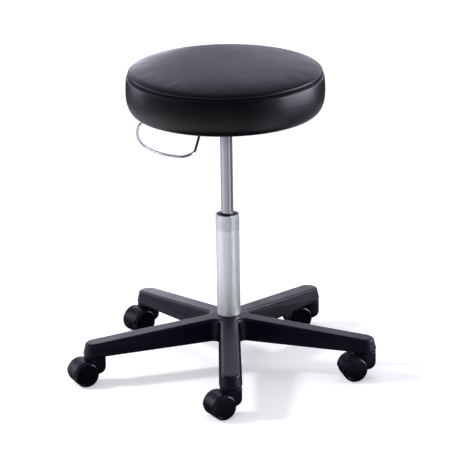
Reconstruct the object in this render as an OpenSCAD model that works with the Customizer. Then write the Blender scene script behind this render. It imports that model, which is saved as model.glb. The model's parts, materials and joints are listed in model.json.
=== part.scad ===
// Pneumatic exam stool: a round upholstered seat on a gas-lift column, a moulded
// five-arm base, twin-wheel casters and a wire release ring under the seat.
// The origin is on the column's axis at floor level, +Z up, lengths in millimetres.

/* [Seat cushion] */
// Diameter of the cushion at its widest
seat_d = 418.8; // [380:0.5:450]
// Height of the cushion from its underside to the top of its crown
seat_h = 110.4; // [95:0.5:125]
// Height of the widest ring above the underside
belly_h = 52; // [42:0.5:60]
// Depth of the top seam below the crown
seam_drop = 26.8; // [22:0.5:32]
// How far the top seam lies inside the widest ring
seam_in = 3.2; // [1.5:0.1:5]
// How far the rim of the flat underside lies inside the widest ring
underside_inset = 33.4; // [28:0.2:42]
// Thickness of the vinyl cover
cover_t = 1.2; // [0.8:0.1:2]
// Width of the cover's hem under the board
hem_w = 28; // [15:1:35]
// Thickness of the seat board
board_t = 15; // [10:0.5:18]

/* [Seat plate] */
// Width of the square mounting plate
plate_w = 180; // [165:1:200]
// Sheet thickness of the mounting plate
plate_t = 2.5; // [2:0.1:3]
// Corner radius of the mounting plate
plate_corner_r = 14; // [8:0.5:20]
// Width of the pressed pan in the middle of the plate
pan_w = 110; // [104:1:118]
// Depth of the pan below the seat board
pan_depth = 25; // [23:0.5:28]
// Distance between the plate screws along a side
screw_spacing = 150; // [140:1:155]
// Diameter of the plate screws
screw_d = 6; // [5:0.5:6.5]
// Outer diameter of the taper socket
socket_d = 38; // [34:0.5:42]
// Distance from the cushion's underside to the socket's lower rim
socket_drop = 47; // [40:0.5:52]

/* [Gas lift] */
// Outer diameter of the pressure tube
cylinder_d = 26; // [24:0.5:28]
// Wall of the pressure tube
cylinder_wall = 2; // [1.5:0.1:2.5]
// Length of the pressure tube
cylinder_l = 286; // [280:1:292]
// Diameter of the piston rod
piston_rod_d = 10; // [8:0.5:11]
// Length of tube seen between the column and the socket as stored
rod_show_h = 175; // [172:1:185]
// How far the seat can rise from the stored height
lift_up = 20; // [10:1:24]
// How far the seat can sink from the stored height
lift_down = 168; // [150:1:170]

/* [Column] */
// Outer diameter of the column tube
column_d = 50; // [46:0.5:52]
// Wall of the column tube
column_wall = 2.5; // [2:0.1:3]
// Height of the column above the hub
column_show_h = 223.1; // [214:0.5:232]
// Length of the guide bush inside the column
bush_l = 72; // [65:1:75]
// Height of the band round the top of the column
band_h = 33.5; // [25:0.5:45]
// Thickness of the band
band_t = 0.25; // [0.2:0.05:0.4]

/* [Release ring] */
// Direction of the release ring round the column, in degrees
ring_heading = 200.4; // [190:0.1:210]
// Slope of the release ring below level, in degrees
ring_slope = 13.8; // [11:0.1:14]
// Diameter of the ring's wire
wire_d = 5.5; // [4.5:0.5:6]
// Reach of the ring's outer bow from the column's axis
ring_reach = 186.6; // [175:0.1:195]
// Half the width of the ring where its legs would meet the bow
ring_half_w = 156.7; // [150:1:162]
// Height of the outer bow over its chord
ring_bow = 50.8; // [46:0.1:56]
// Radius of the ring's two corners
ring_corner_r = 21; // [17:0.1:25]
// Distance from the column's axis to the lever's pivot
pivot_reach = 42; // [41:0.5:43]
// Depth of the pivot below the seat board
pivot_drop = 14.8; // [14.2:0.1:15.4]
// Diameter of the pivot pin
pin_d = 5; // [4:0.5:5.5]

/* [Base] */
// Number of arms and casters
arm_count = 5; // [5]
// Radius of the circle that the caster stems stand on
stem_circle_r = 300.4; // [285:0.5:315]
// Diameter of an arm's round end
arm_end_d = 48.4; // [47:0.5:52]
// Width of an arm at the hub
arm_root_w = 46.4; // [43:0.5:47]
// Height of an arm over its caster's stem
arm_end_h = 28.5; // [27:0.1:31]
// Height that the arms' sloping tops would meet at on the column's axis
arm_root_h = 56.2; // [53:0.1:60]
// Rise of the base's underside from the arms' ends to the hub
arm_arch = 5; // [2:0.5:7]
// How far the arms' sides lean in towards the top
arm_draft = 4; // [2:0.5:5]
// Rounding of the arms' top edges
arm_edge_r = 6; // [4:0.5:7]
// Radius of the hollows between neighbouring arms
valley_r = 12; // [9:0.5:16]
// Wall of the arms over their open undersides
arm_wall = 4.5; // [3.5:0.5:5.5]
// Thickness of the ribs under the arms
rib_t = 3; // [2.5:0.5:4]

/* [Casters] */
// Height from the floor to the underside of the arms
caster_h = 62.2; // [60.5:0.1:65]
// Diameter of the wheels
wheel_d = 53; // [50:0.5:54]
// Width of one wheel
wheel_w = 23.3; // [21.5:0.1:25]
// Gap between a caster's two wheels
wheel_gap = 4.8; // [4.4:0.1:5.6]
// Rounding of a wheel's outer edge
wheel_edge_r = 4; // [2.5:0.5:5]
// Distance from the stem's axis to the axle
caster_trail = 27; // [26:0.1:28.5]
// Diameter of the round hood under the arm
hood_d = 46.5; // [44:0.5:48]
// Width of the fender over the wheels
fender_w = 40; // [34:0.5:43]
// Diameter of the caster stems
stem_d = 11; // [10:0.5:11.5]
// Diameter of the axles
axle_d = 6; // [5:0.5:7]

/* [Hidden] */

$fn = 64;

// Where the first arm points, and how each caster's trail lies from there
first_arm_deg = -90;
caster_heading_deg = [209.2, 193.4, 198.7, 220.0, 204.1];

// Clearances and the one overrun that all cuts share
run_gap = 0.05;
seat_gap = 0.1;
clear_gap = 0.3;
overrun = 1;

// Heights above the floor
axle_z = wheel_d / 2;
top_slope = (arm_root_h - arm_end_h) / stem_circle_r;
hub_top_z = caster_h + arm_root_h - top_slope * column_d / 2;
edge_rise = 0.8;
column_edge_z = hub_top_z + edge_rise;
column_top_z = column_edge_z + column_show_h;
socket_low_z = column_top_z + rod_show_h;
seat_z = socket_low_z + socket_drop;
board_z = seat_z + cover_t + clear_gap;

// The cushion's outline
seat_r = seat_d / 2;
underside_r = seat_r - underside_inset;
board_in = 1;
board_r = underside_r - board_in;
seam_r = seat_r - seam_in;
seam_z = seat_h - seam_drop;
lower_bulge = 2.5;
crown_bulge = 2.74;
seam_groove = 1.6;
lower_steps = 9;
side_steps = 4;
crown_steps = 14;

// The seat plate and its pan
pan_corner_r = 10;
pan_floor_z = board_z - pan_depth;
ear_t = plate_t;
ear_len = 16;
screw_head_d = 2 * screw_d;
screw_head_h = 0.6 * screw_d;
tee_nut_d = 3 * screw_d;
tee_nut_t = 1.5;
tee_barrel_d = 1.4 * screw_d;

// The gas lift
cylinder_r = cylinder_d / 2;
cylinder_bore_r = cylinder_r - cylinder_wall;
button_d = 6;
button_show = 5;
button_l = 16;
button_to_tongue = 0.3;
tongue_t = 3;
pivot_z = board_z - pivot_drop;
tongue_rise = 4.8;
tongue_z = pivot_z + tongue_rise;
cylinder_top_z = tongue_z - button_to_tongue - button_show;
cylinder_low_z = cylinder_top_z - cylinder_l;
cylinder_head_t = 24;
taper_l = 28;
taper_in = 0.6;
socket_step = 3;
rod_guide_l = 16;
seal_t = 4;
piston_t = 12;
piston_play = 3;

// The column and what stands in its foot
column_r = column_d / 2;
column_bore_r = column_r - column_wall;
column_low_z = caster_h - column_wall;
swage_in = 1.2;
hub_taper_in = 0.8;
foot_t = 4;
bush_flange_t = 3;
bush_sink = 1.2;
race_t = 2.5;
ball_d = 4.8;
ball_count = 8;
race_r = 13;
collar_t = 3;
bumper_t = 6;
bumper_play = 6;
washer_t = 1.5;
clip_t = 1.2;
clip_sink = 1;
rod_tail = 4;
race_low_z = column_low_z + foot_t;
ball_z = race_low_z + race_t + run_gap + ball_d / 2;
collar_z = ball_z + ball_d / 2 + run_gap;
bumper_z = collar_z + collar_t;
bumper_l = cylinder_low_z - lift_down - bumper_play - bumper_z;
clip_z = column_low_z - run_gap - washer_t - clip_t;

// The release lever
tongue_w = 24;
tongue_tip_w = 15;
tongue_tip = 6;
tongue_bend = 30;
tongue_tail = 22;
knuckle_r = pin_d;
leg_start = 62;
leg_offset = 14.7;
tail_w = 46;
tail_from = 15.5;
bend_thin = 0.05;
bend_lap_deg = 1.5;
wire_r = wire_d / 2;
ring_z0 = pivot_z + pivot_reach * tan(ring_slope) - (tongue_t + wire_d) / 2 / cos(ring_slope);

// The base
arm_step_deg = 360 / arm_count;
arm_root_r = arm_root_w / 2;
arm_end_r = arm_end_d / 2;
lip_in = 1.2;
lip_h = 3.5;
edge_steps = 4;
end_steps = 12;
valley_steps = 8;
splay_deg = asin((arm_end_r - arm_root_r) / stem_circle_r);
valley_x = (arm_root_r + valley_r) / sin(arm_step_deg / 2 - splay_deg);
valley_sweep_deg = 180 - arm_step_deg + 2 * splay_deg;
pocket_start = 38;
pocket_end = stem_circle_r - arm_end_r + arm_wall / 2;
rib_count = 4;

// The casters
hood_gap = 2.2;
hood_top_z = caster_h - hood_gap;
hood_r = hood_d / 2;
hood_round_r = 15;
hood_drop = 6;
hood_low_z = axle_z - hood_drop;
arch_gap = 0.7;
arch_r = wheel_d / 2 + arch_gap;
fender_t = 1.7;
fender_r = arch_r + fender_t;
web_gap = 0.6;
web_t = wheel_gap - 2 * web_gap;
web_inset = 2.5;
web_r = wheel_d / 2 - web_inset;
boss_r = 6.5;
boss_reach = 1.5;
boss_t = wheel_gap + 2 * boss_reach;
axle_l = wheel_gap + 1.5 * wheel_w;
wheel_face_dish = 0.6;
wheel_chamfer = 1;
stem_r = stem_d / 2;
stem_hold = 10;
stem_low_z = hood_top_z - stem_hold;
socket_depth = 22.5;
stem_flange_r = 9;
grip_t = 0.7;
grip_h = 6;
grip_low = 12;
grip_slot = 2;
stem_end_in = 1;

// Seat

// A point on the rounded lower edge: turn runs from 0 at the underside to 90 at the belly
function lower_point(turn) = [
  underside_r + (seat_r - underside_r) * pow(sin(turn), 2 / lower_bulge),
  belly_h - belly_h * pow(cos(turn), 2 / lower_bulge)
];

// A point on the side: share runs from 0 at the belly to 1 at the seam
function side_point(share) = [
  seat_r - seam_in * share * share,
  belly_h + (seam_z - seam_groove - belly_h) * share
];

// A point on the crown: turn runs from 0 at the seam to 90 at the middle
function crown_point(turn) = [
  seam_r * pow(cos(turn), 2 / crown_bulge),
  seam_z + seam_drop * pow(sin(turn), 2 / crown_bulge)
];

// The cushion's half outline from the underside's rim to the crown's flat middle
function cushion_outline() = concat(
  [for (i = [0 : lower_steps - 1]) lower_point(90 * i / lower_steps)],
  [for (i = [0 : side_steps]) side_point(i / side_steps)],
  [[seam_r - seam_groove, seam_z]],
  [for (i = [1 : crown_steps - 2]) crown_point(90 * i / crown_steps)],
  [[seat_r / 4, seat_h]]
);

// The outline drawn in on all sides by a distance, as a closed half section
function cushion_section(inset) = let(
  r_share = (seat_r - inset) / seat_r,
  z_share = (seat_h - 2 * inset) / seat_h
) concat(
  [[0, inset]],
  [for (p = cushion_outline()) [p[0] * r_share, inset + p[1] * z_share]],
  [[0, seat_h - inset]]
);

module seat_cover() color("#1c1c1f")
  translate([0, 0, seat_z])
    rotate_extrude($fn = 128)
      difference() {
        polygon(cushion_section(0));
        polygon(cushion_section(cover_t));
        translate([0, -overrun])
          square([underside_r - hem_w, cover_t + 2 * overrun]);
      }

module seat_foam() color("#d8c9a0")
  translate([0, 0, seat_z])
    rotate_extrude($fn = 128)
      difference() {
        polygon(cushion_section(cover_t + clear_gap));
        translate([0, -overrun])
          square([board_r + clear_gap, cover_t + 2 * clear_gap + board_t + overrun]);
      }

module screw_places() {
  for (x = [-1, 1], y = [-1, 1])
    rotate(ring_heading)
      translate([x * screw_spacing / 2, y * screw_spacing / 2, 0])
        children();
}

module seat_board() color("#b98f58")
  difference() {
    translate([0, 0, board_z])
      cylinder(r = board_r, h = board_t, $fn = 128);
    screw_places()
      translate([0, 0, board_z - overrun])
        cylinder(d = tee_barrel_d + 2 * clear_gap, h = board_t + 2 * overrun);
    screw_places()
      translate([0, 0, board_z + board_t - tee_nut_t - clear_gap])
        cylinder(d = tee_nut_d + 2 * clear_gap, h = tee_nut_t + clear_gap + overrun);
  }

module tee_nuts() color("#8d9094")
  screw_places()
    difference() {
      union() {
        translate([0, 0, board_z + board_t - tee_nut_t - clear_gap])
          cylinder(d = tee_nut_d, h = tee_nut_t);
        translate([0, 0, board_z + clear_gap])
          cylinder(d = tee_barrel_d, h = board_t - tee_nut_t - 2 * clear_gap);
      }
      translate([0, 0, board_z])
        cylinder(d = screw_d + 2 * run_gap, h = board_t + overrun);
    }

// Seat plate

module rounded_square(w, r) {
  for (x = [-1, 1], y = [-1, 1])
    translate([x * (w / 2 - r), y * (w / 2 - r)])
      circle(r);
  square([w - 2 * r, w], center = true);
  square([w, w - 2 * r], center = true);
}

module pan_solid(inset, low_z, high_z) {
  translate([0, 0, low_z])
    linear_extrude(high_z - low_z)
      rounded_square(pan_w - 2 * inset, pan_corner_r - inset);
}

// One bent ear that carries the lever's pin, standing on the pan's floor
module pin_ear(side) {
  translate([pivot_reach, side * (tongue_w / 2 + clear_gap + ear_t / 2), 0])
    rotate([90, 0, 0])
      linear_extrude(ear_t, center = true) {
        translate([0, pivot_z])
          circle(d = ear_len - 2 * ear_t);
        translate([-ear_len / 2 + ear_t, pan_floor_z - plate_t / 2])
          square([ear_len - 2 * ear_t, pivot_z - pan_floor_z + plate_t / 2]);
      }
}

module seat_plate() color("#222327")
  difference() {
    rotate(ring_heading)
      difference() {
        union() {
          difference() {
            union() {
              translate([0, 0, board_z - plate_t])
                linear_extrude(plate_t)
                  rounded_square(plate_w, plate_corner_r);
              pan_solid(0, pan_floor_z - plate_t, board_z - plate_t / 2);
            }
            pan_solid(plate_t, pan_floor_z, board_z + overrun);
          }
          pin_ear(1);
          pin_ear(-1);
        }
        translate([0, 0, pan_floor_z - plate_t - overrun])
          cylinder(d = socket_d + 2 * seat_gap, h = plate_t + 2 * overrun);
        translate([pivot_reach, 0, pivot_z])
          rotate([90, 0, 0])
            cylinder(d = pin_d + 2 * run_gap, h = pan_w / 2, center = true);
        // Slot that the lever's tongue leaves the pan through
        translate([pan_w / 2 - 2 * plate_t, -tongue_w * 0.7, pan_floor_z])
          cube([3 * plate_t, tongue_w * 1.4, pan_depth - 3 * plate_t]);
      }
    screw_places()
      translate([0, 0, board_z - plate_t - overrun])
        cylinder(d = screw_d + 4 * seat_gap, h = plate_t + 2 * overrun);
  }

module plate_screws() color("#9a9da1")
  screw_places()
    difference() {
      union() {
        translate([0, 0, board_z - plate_t - screw_head_h])
          cylinder(d = screw_head_d, h = screw_head_h);
        translate([0, 0, board_z - plate_t - screw_head_h / 2])
          cylinder(d = screw_d, h = board_t + plate_t);
      }
      // Six-sided key recess
      translate([0, 0, board_z - plate_t - screw_head_h - overrun])
        cylinder(d = screw_d, h = screw_head_h * 0.6 + overrun, $fn = 6);
    }

// The tapered bore's radius at a height, wider towards the bottom
function taper_r(z) = cylinder_r - taper_in * (z - socket_low_z) / taper_l;

module taper_socket() color("#3c3d41")
  difference() {
    translate([0, 0, socket_low_z])
      cylinder(d = socket_d, h = cylinder_top_z - socket_step - socket_low_z);
    translate([0, 0, socket_low_z - overrun])
      cylinder(
        r1 = taper_r(socket_low_z - overrun) + seat_gap,
        r2 = taper_r(cylinder_top_z) + seat_gap,
        h = cylinder_top_z - socket_low_z + overrun
      );
  }

// Gas lift

module pressure_tube() color("#b9bcc2")
  difference() {
    union() {
      translate([0, 0, cylinder_low_z])
        cylinder(r = cylinder_r, h = socket_low_z - cylinder_low_z);
      translate([0, 0, socket_low_z])
        cylinder(r1 = cylinder_r, r2 = taper_r(cylinder_top_z), h = cylinder_top_z - socket_low_z);
    }
    translate([0, 0, cylinder_low_z - overrun])
      cylinder(r = cylinder_bore_r, h = cylinder_l - cylinder_head_t + overrun);
    translate([0, 0, cylinder_top_z - button_l - button_show])
      cylinder(d = button_d + 2 * run_gap, h = button_l + button_show + overrun);
  }

module valve_button() color("#c9a24a")
  translate([0, 0, cylinder_top_z + button_show - button_l])
    cylinder(d = button_d, h = button_l);

module rod_guide() color("#55585c")
  translate([0, 0, cylinder_low_z])
    difference() {
      cylinder(r = cylinder_bore_r - run_gap, h = rod_guide_l);
      translate([0, 0, -overrun])
        cylinder(d = piston_rod_d + 2 * run_gap, h = rod_guide_l + 2 * overrun);
    }

module rod_seal() color("#151515")
  translate([0, 0, cylinder_low_z + rod_guide_l])
    difference() {
      cylinder(r = cylinder_bore_r - run_gap, h = seal_t);
      translate([0, 0, -overrun])
        cylinder(d = piston_rod_d + 2 * run_gap, h = seal_t + 2 * overrun);
    }

// The piston's underside stays just above the seal when the seat is fully up
piston_z = cylinder_low_z + rod_guide_l + seal_t + lift_up + piston_play;

module piston() color("#7c7f85")
  translate([0, 0, piston_z])
    difference() {
      cylinder(r = cylinder_bore_r - run_gap, h = piston_t);
      translate([0, 0, -overrun])
        cylinder(d = piston_rod_d + 2 * run_gap, h = piston_t + 2 * overrun);
    }

module piston_rod() color("#c5c8cd")
  difference() {
    translate([0, 0, clip_z - rod_tail])
      cylinder(d = piston_rod_d, h = piston_z + piston_t + clip_sink - clip_z + rod_tail);
    // Groove for the retaining clip
    translate([0, 0, clip_z - run_gap])
      difference() {
        cylinder(d = piston_rod_d + overrun, h = clip_t + 2 * run_gap);
        translate([0, 0, -overrun])
          cylinder(d = piston_rod_d - 2 * clip_sink, h = clip_t + 2 * overrun);
      }
  }

// Foot of the column

module ring_part(outer_r, inner_r, z, h) {
  translate([0, 0, z])
    difference() {
      cylinder(r = outer_r, h = h);
      translate([0, 0, -overrun])
        cylinder(r = inner_r, h = h + 2 * overrun);
    }
}

module rod_collar() color("#8d9094")
  ring_part(race_r, piston_rod_d / 2 + run_gap, collar_z, collar_t);

module rod_bumper() color("#161616")
  ring_part(piston_rod_d / 2 + bumper_t, piston_rod_d / 2 + run_gap, bumper_z, bumper_l);

module bearing_balls() color("#d5d7da")
  for (i = [0 : ball_count - 1])
    rotate(360 * i / ball_count)
      translate([(race_r + piston_rod_d / 2) / 2, 0, ball_z])
        sphere(d = ball_d, $fn = 32);

module bearing_race() color("#8d9094")
  ring_part(race_r, piston_rod_d / 2 + clear_gap, race_low_z, race_t);

module column_foot() color("#6d7075")
  ring_part(foot_low_r - column_wall - seat_gap, piston_rod_d / 2 + clear_gap, column_low_z, foot_t);

module rod_washer() color("#8d9094")
  ring_part(piston_rod_d, piston_rod_d / 2 + run_gap, clip_z + clip_t, washer_t);

module rod_clip() color("#3b3c3f")
  difference() {
    ring_part(piston_rod_d * 0.85, piston_rod_d / 2 - clip_sink + run_gap, clip_z, clip_t);
    translate([0, -piston_rod_d * 0.3, clip_z - overrun])
      cube([piston_rod_d, piston_rod_d * 0.6, clip_t + 2 * overrun]);
  }

// Column

// The tube's foot is swaged in below a small shoulder and tapers down into the hub
foot_top_r = column_r - swage_in;
foot_low_r = foot_top_r - hub_taper_in;

module column_tube() color("#c6c9cc")
  rotate_extrude($fn = 96)
    polygon([
      [foot_low_r - column_wall, column_low_z],
      [foot_low_r, column_low_z],
      [foot_top_r, column_edge_z - swage_in / 2],
      [column_r, column_edge_z + swage_in / 2],
      [column_r, column_top_z],
      [column_bore_r, column_top_z],
      [column_bore_r, column_edge_z + column_wall],
      [foot_top_r - column_wall, column_edge_z]
    ]);

module guide_bush() color("#18181a")
  translate([0, 0, column_top_z - bush_sink - bush_l])
    difference() {
      union() {
        cylinder(r = column_bore_r - seat_gap, h = bush_l - bush_flange_t);
        translate([0, 0, bush_l - bush_flange_t])
          cylinder(r1 = column_bore_r - seat_gap, r2 = column_bore_r - bush_flange_t / 2, h = bush_flange_t);
      }
      translate([0, 0, -overrun])
        cylinder(r = cylinder_r + run_gap, h = bush_l + 2 * overrun);
    }

module column_band() color("#dfe1e3")
  ring_part(column_r + run_gap + band_t, column_r + run_gap, column_top_z - band_h, band_h - clear_gap);

// Release lever

// Puts its children in the lever's own frame: x runs out from the column
module lever_frame() {
  rotate(ring_heading)
    children();
}

module release_tongue() color("#2b2c30")
  lever_frame()
    difference() {
      union() {
        // Flat tip over the valve button
        translate([-tongue_tip, -tongue_tip_w / 2, tongue_z])
          cube([tongue_bend + tongue_tip, tongue_tip_w, tongue_t]);
        // Step down from the tip to the knuckle
        translate([0, tongue_w / 2, 0])
          rotate([90, 0, 0])
            linear_extrude(tongue_w)
              polygon([
                [tongue_bend - tongue_t, tongue_z],
                [tongue_bend - tongue_t, tongue_z + tongue_t],
                [tongue_bend, tongue_z + tongue_t],
                [pivot_reach + knuckle_r / 2, pivot_z + tongue_t],
                [pivot_reach, pivot_z - tongue_t / 2],
                [tongue_bend, tongue_z]
              ]);
        // Knuckle round the pivot pin
        translate([pivot_reach, 0, pivot_z])
          rotate([90, 0, 0])
            cylinder(r = knuckle_r, h = tongue_w, center = true);
        // Tail that the wire is welded under, wider outside the pan
        translate([pivot_reach, 0, pivot_z])
          rotate([0, ring_slope, 0]) {
            translate([0, -tongue_w / 2, -tongue_t / 2])
              cube([tongue_tail, tongue_w, tongue_t]);
            translate([tail_from, -tail_w / 2, -tongue_t / 2])
              cube([tongue_tail + knuckle_r - tail_from, tail_w, tongue_t]);
          }
      }
      translate([pivot_reach, 0, pivot_z])
        rotate([90, 0, 0])
          cylinder(d = pin_d + 2 * run_gap, h = tongue_w + 2 * overrun, center = true);
    }

module lever_pin() color("#b4b7bb")
  lever_frame()
    translate([pivot_reach, 0, pivot_z])
      rotate([90, 0, 0])
        cylinder(d = pin_d, h = tongue_w + 2 * clear_gap + 4 * ear_t, center = true);

module pin_clips() color("#3b3c3f")
  lever_frame()
    for (side = [-1, 1])
      translate([pivot_reach, side * (tongue_w / 2 + 2 * clear_gap + 1.3 * ear_t), pivot_z])
        rotate([90, 0, 0])
          difference() {
            cylinder(r = pin_d * 0.9, h = clip_t / 2, center = true);
            cylinder(r = pin_d / 2 + run_gap, h = 2 * clip_t, center = true);
          }

// The ring lies in one sloping plane. Its legs leave the tongue, splay out to two
// round corners, and a shallow bow joins the corners.
leg_from = [leg_start, leg_offset];
leg_to = [ring_reach - ring_bow, ring_half_w];
bow_r = (ring_half_w * ring_half_w + ring_bow * ring_bow) / (2 * ring_bow);
bow_centre = [ring_reach - bow_r, 0];
leg_dir = (leg_to - leg_from) / norm(leg_to - leg_from);
leg_inward = [leg_dir[1], -leg_dir[0]];
corner_offset = leg_from + ring_corner_r * leg_inward - bow_centre;
along = corner_offset * leg_dir;
leg_len = -along + sqrt(along * along - corner_offset * corner_offset + pow(bow_r - ring_corner_r, 2));
corner_centre = leg_from + leg_len * leg_dir + ring_corner_r * leg_inward;
corner_to_bow = corner_centre - bow_centre;
bow_half_deg = atan2(corner_to_bow[1], corner_to_bow[0]);
leg_deg = atan2(leg_dir[1], leg_dir[0]);
corner_sweep_deg = leg_deg + 90 - bow_half_deg;

// The wire is a little thinner in its corners, where each laps into the straight wire
module ring_half() {
  translate([leg_from[0], leg_from[1], 0])
    rotate([0, 90, leg_deg])
      cylinder(r = wire_r, h = leg_len, $fn = 32);
  translate([corner_centre[0], corner_centre[1], 0])
    rotate(bow_half_deg - bend_lap_deg)
      rotate_extrude(angle = corner_sweep_deg + 2 * bend_lap_deg, $fn = 96)
        translate([ring_corner_r, 0])
          circle(wire_r - bend_thin, $fn = 32);
}

module release_ring() color("#cfd2d6")
  lever_frame()
    translate([0, 0, ring_z0])
      rotate([0, ring_slope, 0]) {
        ring_half();
        mirror([0, 1, 0])
          ring_half();
        translate([bow_centre[0], 0, 0])
          rotate(-bow_half_deg)
            rotate_extrude(angle = 2 * bow_half_deg, $fn = 256)
              translate([bow_r, 0])
                circle(wire_r, $fn = 32);
      }

// Base

module on_arm(k) {
  rotate(first_arm_deg + arm_step_deg * k)
    children();
}

module on_stem(k) {
  on_arm(k)
    translate([stem_circle_r, 0, 0])
      children();
}

// The star's outline in plan, drawn in by a distance: for each arm its round end,
// then the hollow between it and the next arm
function end_point(inset, i) =
  let(turn = (90 + splay_deg) * (2 * i / end_steps - 1), r = arm_end_r - inset)
  [stem_circle_r + r * cos(turn), r * sin(turn)];
function valley_point(inset, i) =
  let(turn = 270 + splay_deg - valley_sweep_deg * i / valley_steps, r = valley_r + inset)
  [valley_x * cos(arm_step_deg / 2) + r * cos(turn), valley_x * sin(arm_step_deg / 2) + r * sin(turn)];
function turned(p, deg) = [p[0] * cos(deg) - p[1] * sin(deg), p[0] * sin(deg) + p[1] * cos(deg)];
function one_arm(inset) = concat(
  [for (i = [0 : end_steps]) end_point(inset, i)],
  [for (i = [0 : valley_steps]) valley_point(inset, i)]
);
points_a_ring = arm_count * (end_steps + valley_steps + 2);

// How far along its arm a point lies; past the hollow's middle the next arm counts
function along_arm(p) = max(p[0], turned(p, -arm_step_deg)[0]);

// The underside's height where a point lies: level past the stems, highest at the hub
function underside_z(p) = caster_h + arm_arch * max(0, 1 - along_arm(p) / stem_circle_r);

// One ring of the skin: a height above the underside, or below the sloping top
function ring_at(inset, rise) = [for (k = [0 : arm_count - 1], p = one_arm(inset))
  let(q = turned(p, first_arm_deg + arm_step_deg * k)) [q[0], q[1], underside_z(p) + rise]];
function ring_below_top(inset, drop) = [for (k = [0 : arm_count - 1], p = one_arm(inset))
  let(q = turned(p, first_arm_deg + arm_step_deg * k))
  [q[0], q[1], caster_h + arm_root_h - top_slope * along_arm(p) - drop]];

module star_skin() {
  points = concat(
    ring_at(lip_in, 0),
    ring_at(lip_in, lip_h - lip_in / 2),
    ring_at(0, lip_h),
    [for (i = [0 : edge_steps], p = ring_below_top(
      arm_draft + arm_edge_r * (1 - cos(90 * i / edge_steps)),
      arm_edge_r * (1 - sin(90 * i / edge_steps))
    )) p],
    [[0, 0, caster_h + arm_arch], [0, 0, caster_h + arm_root_h]]
  );
  rings = 4 + edge_steps;
  low_middle = rings * points_a_ring;
  top = (rings - 1) * points_a_ring;
  polyhedron(points, concat(
    [for (j = [0 : rings - 2], i = [0 : points_a_ring - 1])
      let(a = j * points_a_ring + i, b = j * points_a_ring + (i + 1) % points_a_ring)
      each [[a, a + points_a_ring, b], [b, a + points_a_ring, b + points_a_ring]]],
    [for (i = [0 : points_a_ring - 1]) [low_middle, i, (i + 1) % points_a_ring]],
    [for (i = [0 : points_a_ring - 1])
      [low_middle + 1, top + (i + 1) % points_a_ring, top + i]]
  ));
}

// The open underside of one arm, parted by a long rib and cross ribs
module arm_pockets(k) {
  start_w = arm_root_r - arm_draft - arm_wall;
  end_w = arm_end_r - arm_draft - arm_wall;
  cell = (pocket_end - pocket_start - rib_count * rib_t) / (rib_count + 1);
  slope_deg = atan(top_slope);
  on_arm(k)
    difference() {
      translate([0, 0, caster_h - overrun])
        linear_extrude(arm_root_h)
          difference() {
            polygon([
              [pocket_start, -start_w],
              [pocket_end, -end_w],
              [pocket_end, end_w],
              [pocket_start, start_w]
            ]);
            translate([0, -rib_t / 2])
              square([stem_circle_r, rib_t]);
            for (i = [1 : rib_count])
              translate([pocket_start + i * cell + (i - 1) * rib_t, -arm_end_r])
                square([rib_t, arm_end_d]);
          }
      // Leaves the arm's sloping top wall standing
      translate([0, -arm_end_r, caster_h + arm_root_h - arm_wall])
        rotate([0, slope_deg, 0])
          translate([-arm_end_d, 0, 0])
            cube([stem_circle_r + 2 * arm_end_d, arm_end_d, arm_root_h]);
    }
}

module base_star() color("#1f1f22")
  difference() {
    star_skin();
    for (k = [0 : arm_count - 1])
      arm_pockets(k);
    // Tapered seat for the column, open at the top
    translate([0, 0, column_low_z - overrun])
      cylinder(
        r1 = foot_low_r + seat_gap,
        r2 = foot_top_r + seat_gap,
        h = column_edge_z - column_low_z
      );
    translate([0, 0, column_edge_z - overrun - seat_gap])
      cylinder(r = foot_top_r + seat_gap, h = arm_root_h);
    // Stem sockets
    for (k = [0 : arm_count - 1])
      on_stem(k)
        translate([0, 0, caster_h - overrun])
          cylinder(r = stem_r + grip_t + seat_gap, h = socket_depth + overrun);
  }

// Casters

module stem_shape() {
  translate([0, 0, stem_low_z])
    cylinder(r = stem_r, h = caster_h + socket_depth - stem_low_z - clear_gap - stem_end_in);
  translate([0, 0, caster_h + socket_depth - clear_gap - stem_end_in])
    cylinder(r1 = stem_r, r2 = stem_r - stem_end_in, h = stem_end_in);
  translate([0, 0, hood_top_z + clear_gap])
    cylinder(r = stem_flange_r, h = caster_h - hood_top_z - clear_gap);
}

module caster_stem(k) color("#9a9da1")
  on_stem(k)
    difference() {
      stem_shape();
      // Groove for the grip ring
      translate([0, 0, caster_h + grip_low - run_gap])
        difference() {
          cylinder(r = stem_r + overrun, h = grip_h + 2 * run_gap);
          translate([0, 0, -overrun])
            cylinder(r = stem_r - grip_t, h = grip_h + 2 * overrun);
        }
    }

module grip_rings() color("#b4b7bb")
  for (k = [0 : arm_count - 1])
    on_stem(k)
      difference() {
        ring_part(stem_r + grip_t, stem_r - grip_t + run_gap, caster_h + grip_low, grip_h);
        translate([0, -grip_slot / 2, caster_h + grip_low - overrun])
          cube([stem_d, grip_slot, grip_h + 2 * overrun]);
      }

// Puts its children in a caster's frame: x runs from the stem towards the axle
module caster_frame(k) {
  on_arm(k)
    translate([stem_circle_r, 0, 0])
      rotate(caster_heading_deg[k] - first_arm_deg - arm_step_deg * k)
        children();
}

module across_axle(r, w) {
  translate([caster_trail, 0, axle_z])
    rotate([90, 0, 0])
      cylinder(r = r, h = w, center = true);
}

module hood_shape() {
  rotate_extrude()
    polygon(concat(
      [[0, hood_low_z]],
      [for (i = [0 : 2 * edge_steps])
        [hood_r - hood_round_r + hood_round_r * sin(45 * i / edge_steps),
         hood_low_z + hood_round_r - hood_round_r * cos(45 * i / edge_steps)]],
      [[hood_r, hood_top_z - lip_in], [hood_r - lip_in, hood_top_z], [0, hood_top_z]]
    ));
}

// The fender bends over the wheels from the hood down to the axle's height
module fender_shape() {
  intersection() {
    across_axle(fender_r, fender_w);
    translate([0, -fender_w, axle_z])
      cube([caster_trail + wheel_d, 2 * fender_w, wheel_d]);
  }
}

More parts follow.
